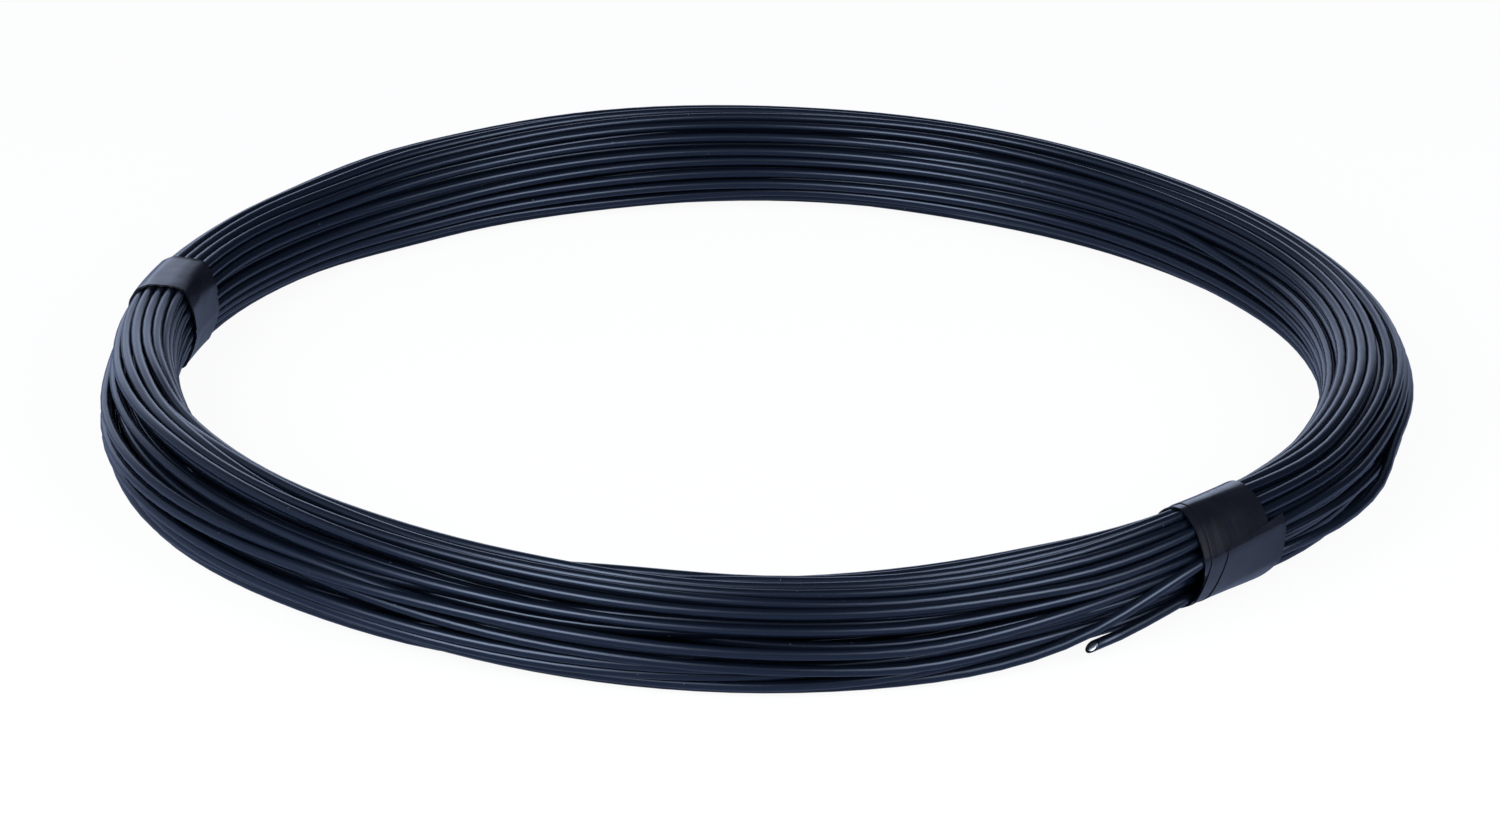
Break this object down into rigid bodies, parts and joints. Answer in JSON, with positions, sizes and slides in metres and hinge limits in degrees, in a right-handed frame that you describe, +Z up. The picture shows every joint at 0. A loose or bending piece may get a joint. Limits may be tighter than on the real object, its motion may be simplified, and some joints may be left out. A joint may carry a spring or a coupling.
{
  "type": "coil of coated binding wire",
  "caption": "Flat ring-shaped coil of dark plastic-coated steel binding wire, held by wraps of tape, with a slant-cut wire end standing out of one wrap.",
  "frame": {"origin": "on the floor, at the middle of the coil", "axes": "+Z up along the coil's axis, +X to the right and -Y towards the viewer, in the picture's view"},
  "size_m": [0.2554, 0.2554, 0.0218],
  "materials": {
    "wire_coat": "satin extruded PVC",
    "wire_core": "freshly cut steel",
    "tape": "glossy PVC tape"
  },
  "bodies": {
    "root": {"wire_coil": "wire_coat", "wire_end": "wire_coat", "core_end": "wire_core", "tape_front": "tape", "tape_back": "tape"}
  },
  "joints": []
}
